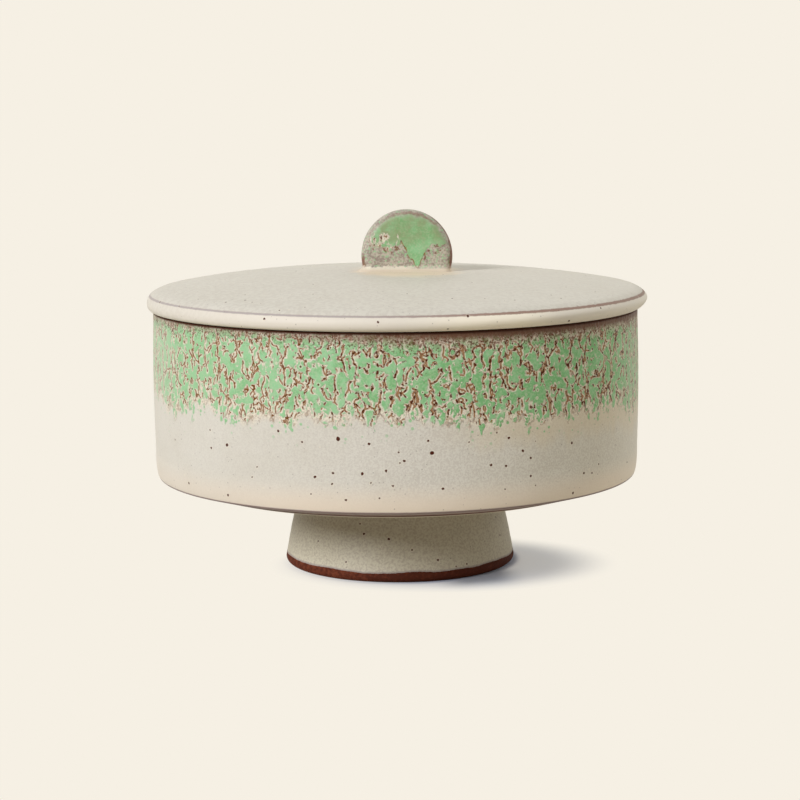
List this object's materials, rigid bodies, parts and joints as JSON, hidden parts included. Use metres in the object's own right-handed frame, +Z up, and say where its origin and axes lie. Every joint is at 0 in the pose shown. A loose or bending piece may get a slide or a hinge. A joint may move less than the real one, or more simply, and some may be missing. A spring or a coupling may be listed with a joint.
{
  "type": "bonbon bowl",
  "caption": "Round lidded bowl with straight walls on a flared foot; the domed lid is lifted by an upright round tab.",
  "frame": {"origin": "centre of the foot's resting ring, on the surface that the bowl stands on", "axes": "+Z up through the middle of the bowl, -Y towards the viewer, +X to the viewer's right along the flat of the knob"},
  "size_m": [0.145, 0.145, 0.1031],
  "materials": {
    "banded_glaze": "satin cream glaze with a run and crawled mint green band",
    "cream_glaze": "satin speckled cream glaze",
    "bare_clay": "unglazed red-brown stoneware, matt"
  },
  "bodies": {
    "bowl": {"bowl_basin": "banded_glaze", "pedestal_foot": "cream_glaze"},
    "lid": {"lid_plate": "cream_glaze", "lid_locating_ring": "bare_clay", "lid_knob": "banded_glaze"}
  },
  "joints": [
    {"name": "lid_lift", "type": "slide", "parent": "bowl", "child": "lid", "axis": [0, 0, 1], "range_m": [0, 0.08]}
  ]
}
